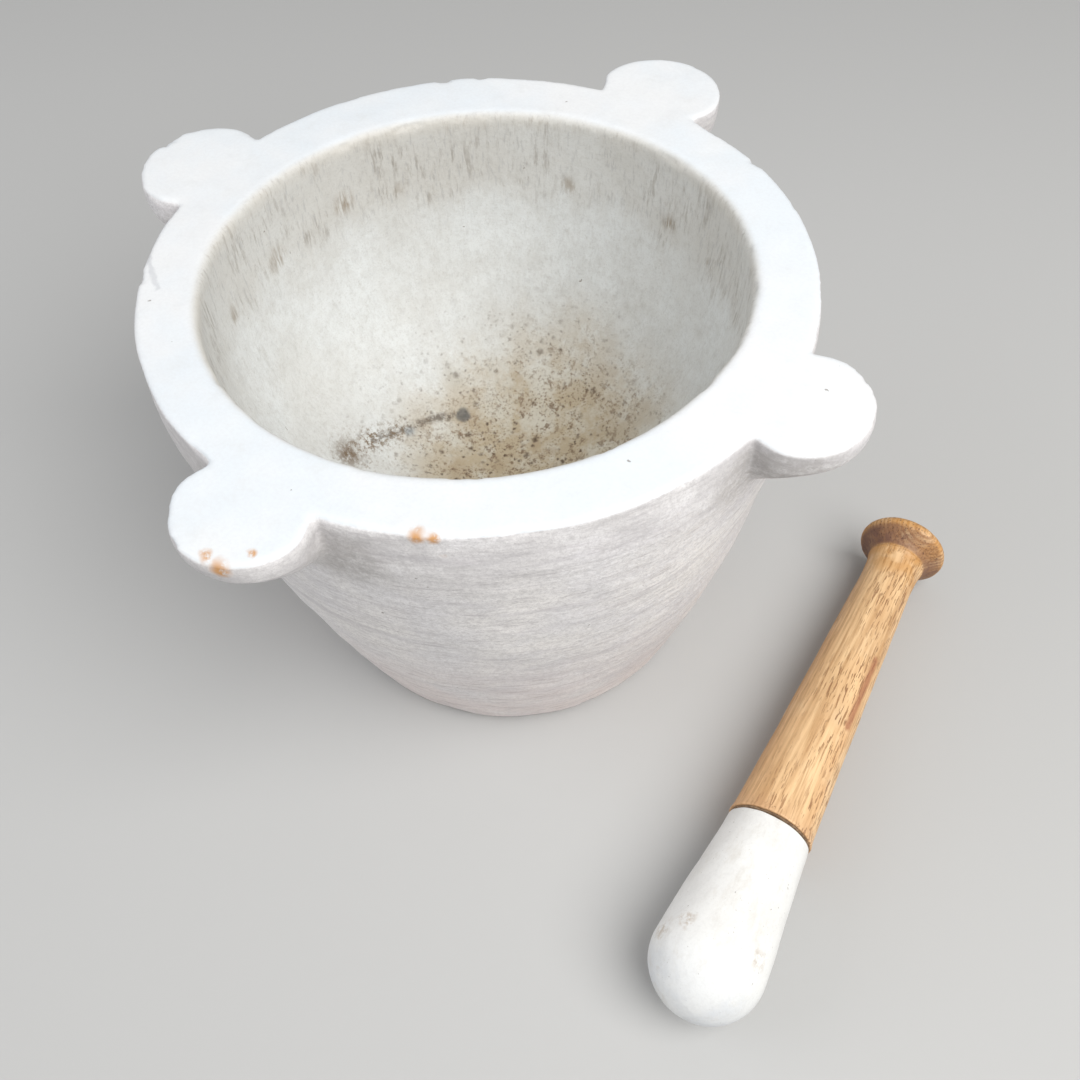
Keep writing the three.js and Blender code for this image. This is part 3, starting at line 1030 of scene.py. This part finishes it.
def add_cement():
    inner = TENON_RADIUS + TOUCH_GAP
    outer = SOCKET_RADIUS - TOUCH_GAP
    bottom = HEAD_LENGTH - SOCKET_DEPTH + TOUCH_GAP
    below = HEAD_LENGTH + 0.15 * MM
    above = HEAD_LENGTH + JOINT_GAP - 0.15 * MM
    rim = JOINT_RADIUS - 0.2 * MM
    middle = (below + above) / 2
    profile = np.array([
        [inner, bottom], [outer, bottom], [outer, below], [rim - 3 * MM, below], [rim - 0.6 * MM, below],
        [rim, middle], [rim - 0.6 * MM, above], [rim - 3 * MM, above], [inner, above],
    ])
    rows = turned_rows(profile)
    angles = around(PESTLE_COLUMNS)
    circle = np.stack([np.cos(angles), np.sin(angles), np.zeros(PESTLE_COLUMNS)], axis=1)
    swell = 1 + bumps(circle * 0.02, CEMENT_SWELL)
    rows[3:8, :, :2] *= swell[None, :, None]
    cement = loft("pestle_cement_line", rows, ring=True)
    cement.data.materials.append(cement_material())
    place_pestle_piece(cement, "joint_cement")


def handle_profile():
    """(radius, distance from the tip) from the tenon's end over the grip, neck and knob."""
    start = HEAD_LENGTH + JOINT_GAP
    bottom = HEAD_LENGTH - TENON_LENGTH
    wide = JOINT_RADIUS + OVERHANG
    tenon_end = [[TENON_RADIUS * share, bottom] for share in (0.1, 0.5, 0.9)]
    tenon = [[TENON_RADIUS, z] for z in np.linspace(bottom, start, BORE_RINGS)]
    shoulder = [[r * MM, start] for r in (12, 15, 18, 20, 21.5)]
    edge = quarter_arc(wide - 0.8 * MM, start + 0.8 * MM, 0.8 * MM, -90, 0)
    t = np.linspace(0, 1, 90)[1:]
    grip = np.stack([wide + (NECK_RADIUS - wide) * t ** 0.85, start + (NECK_START - start) * t], axis=1)
    neck = [[NECK_RADIUS + 0.15 * MM, NECK_START + 6 * MM], [NECK_RADIUS + 0.35 * MM, NECK_END - 6 * MM]]
    ridge = quarter_arc(NECK_RADIUS + 0.7 * MM, NECK_END + 0.2 * MM, 0.7 * MM, -60, 60)
    under = resample([
        [NECK_RADIUS + 0.9 * MM, NECK_END + 1.6 * MM],
        [NECK_RADIUS + 3.2 * MM, NECK_END + 5.2 * MM],
        [KNOB_RADIUS - 2.6 * MM, KNOB_MIDDLE - 4.3 * MM],
    ], 10)
    rim = quarter_arc(KNOB_RADIUS - KNOB_HALF, KNOB_MIDDLE, KNOB_HALF, -45, 80, 14)
    rise = PESTLE_LENGTH - rim[-1][1]
    flat = KNOB_RADIUS - KNOB_HALF
    shares = (0.9, 0.75, 0.5, 0.25, 0.06)
    dome = [[flat * share, PESTLE_LENGTH - rise * share ** 2] for share in shares]
    grip = resample(grip, GRIP_RINGS)
    return np.vstack([tenon_end, tenon, shoulder, edge, grip, neck, ridge, under, rim, dome])


# Colours of the handle's wood, and of painted shade on it, linear
WOOD_GOLD = (0.86, 0.59, 0.325)
WOOD_BROWN = (0.70, 0.41, 0.195)
WOOD_WORN = (0.84, 0.62, 0.38)
WOOD_STREAK = (0.47, 0.25, 0.10)
WOOD_RING = (0.42, 0.21, 0.08)
WOOD_SHADED_SIDE = (0.56, 0.29, 0.12)
WOOD_PORE = (0.28, 0.12, 0.045)
WOOD_GRAIN = (0.46, 0.25, 0.105)
WOOD_RED = (0.36, 0.13, 0.06)
WOOD_NECK = (0.56, 0.27, 0.07)
WOOD_STAIN_AND_SHADE = (0.20, 0.10, 0.065)
WOOD_HOLE = (0.09, 0.035, 0.025)
WOOD_FOOT = (0.62, 0.36, 0.20)

# Features of the wood, in metres along and about the pestle's own axis
PITH_SHIFT = (0.05, 0.018, 0)   # puts the growth rings' middle outside the handle
RING_SPACING = 0.0027
PORE_SIDE = (-0.77, -0.64, 0.0)     # direction in which the open pores are crowded; the handle's painted shade lies on the opposite side
RED_STREAK = ((-0.0118, -0.0140, 0.224), (-0.0135, -0.0150, 0.176))


def wood_material():
    """Golden hardwood with growth rings and open pores, darker where it has been handled, with painted
    shade under the knob and on the side away from the key light.
    """
    paint = Paint("worn_golden_hardwood")
    height = paint.height()
    along = paint.stretched((1.0, 1.0, 0.05))
    slow = paint.noise(0.02, 3, 0.55, along)
    wood = paint.mix(paint.ramp(slow, 0.3, 0.7), WOOD_GOLD, WOOD_BROWN)
    worn = paint.ramp(paint.noise(0.03, 3, 0.6), 0.5, 0.75)
    wood = paint.over(wood, WOOD_WORN, worn, 0.5)
    broad = paint.ramp(paint.noise(0.007, 4, 0.6, paint.stretched((1.0, 1.0, 0.04))), 0.46, 0.70)
    wood = paint.over(wood, WOOD_STREAK, broad, 0.68)

    # growth rings about a pith that lies outside the handle
    warp = paint.noise(0.05, 2, 0.5, along)
    pith = paint.stretched((1.0, 1.0, 0.0), offset=PITH_SHIFT)
    length = paint.add("ShaderNodeVectorMath", operation="LENGTH")
    paint.feed(length.inputs[0], pith)
    turns = paint.times(length.outputs["Value"], 2 * math.pi / RING_SPACING)
    rings = paint.math("SINE", paint.math("ADD", turns, paint.times(warp, 9.0)))
    knob = paint.ramp(height, NECK_END, NECK_END + 6 * MM)
    seen = paint.math("MULTIPLY_ADD", knob, 0.66, 0.22)
    wood = paint.over(wood, WOOD_RING, paint.ramp(rings, -0.2, 0.9), seen)

    # open pores: short dark flecks along the grain, crowded on one side of the handle
    face = paint.vector("DOT_PRODUCT", paint.place, PORE_SIDE)
    crowded = paint.ramp(face, 2 * MM, 15 * MM, 0.32, 0.95)
    # painted shade: the side of the handle turned away from the key light is darker and redder
    shaded_side = paint.ramp(face, 0.0, -14 * MM)
    wood = paint.over(wood, WOOD_SHADED_SIDE, shaded_side, 0.35)
    loose = paint.ramp(paint.noise(0.018, 3, 0.6, paint.stretched((1.0, 1.0, 0.3))), 0.36, 0.60, 0.15, 1.0)
    pores = 0.0
    for size, low in ((0.0010, 0.575), (0.0016, 0.625)):
        flecks = paint.ramp(paint.noise(size, 2, 0.5, paint.stretched((1.0, 1.0, 0.10))), low, low + 0.05)
        pores = paint.math("MAXIMUM", paint.times(flecks, crowded, loose), pores)
    wood = paint.over(wood, WOOD_PORE, pores, 0.9)
    fine = paint.noise(0.0016, 3, 0.6, paint.stretched((1.0, 1.0, 0.03)))
    wood = paint.mix(paint.ramp(fine, 0.48, 0.70, 0.0, 0.55), wood, WOOD_GRAIN)
    red = paint.line(*RED_STREAK, 4 * MM, 0.001)
    wood = paint.over(wood, WOOD_RED, red, paint.ramp(slow, 0.3, 0.6, 0.5, 1.0), 0.8)

    # handling: orange at the neck; purple-brown under the knob, partly patina and partly painted shade of
    # the knob's overhang
    neck = paint.ramp(height, NECK_END - 0.03, NECK_END - 0.006)
    patches = paint.ramp(paint.noise(0.012, 3), 0.36, 0.6, 0.0, 0.7)
    wood = paint.over(wood, WOOD_NECK, neck, patches)
    under = paint.attribute("under")
    stain = paint.ramp(paint.noise(0.008, 4, 0.6), 0.3, 0.6, 0.7, 1.0)
    spared = paint.ramp(face, 11 * MM, 21 * MM, 1.0, 0.5)
    wood = paint.over(wood, WOOD_STAIN_AND_SHADE, under, stain, spared)
    holes = paint.ramp(paint.noise(0.0011, 2, 0.5), 0.60, 0.66)
    wood = paint.over(wood, WOOD_HOLE, knob, holes, 0.7)
    foot = paint.ramp(height, HEAD_LENGTH + 14 * MM, HEAD_LENGTH + 1 * MM)
    wood = paint.over(wood, WOOD_FOOT, foot, 0.35)

    paint.feed(paint.shader["Base Color"], wood)
    paint.feed(paint.shader["Roughness"], paint.ramp(slow, 0.3, 0.7, 0.42, 0.6))
    paint.bump([
        (paint.math("SUBTRACT", 1.0, pores), 0.3 * MM),
        (paint.noise(0.0015, 3, 0.6, along), 0.12 * MM),
    ])
    return paint.material


def add_handle():
    profile = handle_profile()
    rows = turned_rows(profile)
    normal = grid_normals(rows)
    shown = smooth_step(HEAD_LENGTH + 2 * MM, HEAD_LENGTH + 6 * MM, rows[..., 2])
    long_grain = rows * np.array([1.0, 1.0, 0.2])
    lift = (hollows(rows, GRIP_WAVES) + bumps(long_grain, GRIP_BUMPS)) * shown
    rows = rows + normal * lift[..., None]
    handle = loft("pestle_wood_handle", rows)
    along = profile[:, 1]
    # where the knob overhangs: its purple-brown patina and painted shade, stored for the material
    under_knob_stain_and_shade = smooth_step(NECK_END + 1.2 * MM, NECK_END + 3 * MM, along)
    under_knob_stain_and_shade *= smooth_step(KNOB_MIDDLE - 1 * MM, KNOB_MIDDLE - 4 * MM, along)
    store(handle, "under", np.repeat(under_knob_stain_and_shade, PESTLE_COLUMNS))
    handle.data.materials.append(wood_material())
    place_pestle_piece(handle, "pestle_handle")


# ---- Scene ----

add_camera()
add_floor()
add_world()
for light in LIGHTS:
    add_area_light(*light)
bpy.context.scene.view_settings.view_transform = "Standard"
add_mortar()
add_head()
add_cement()
add_handle()
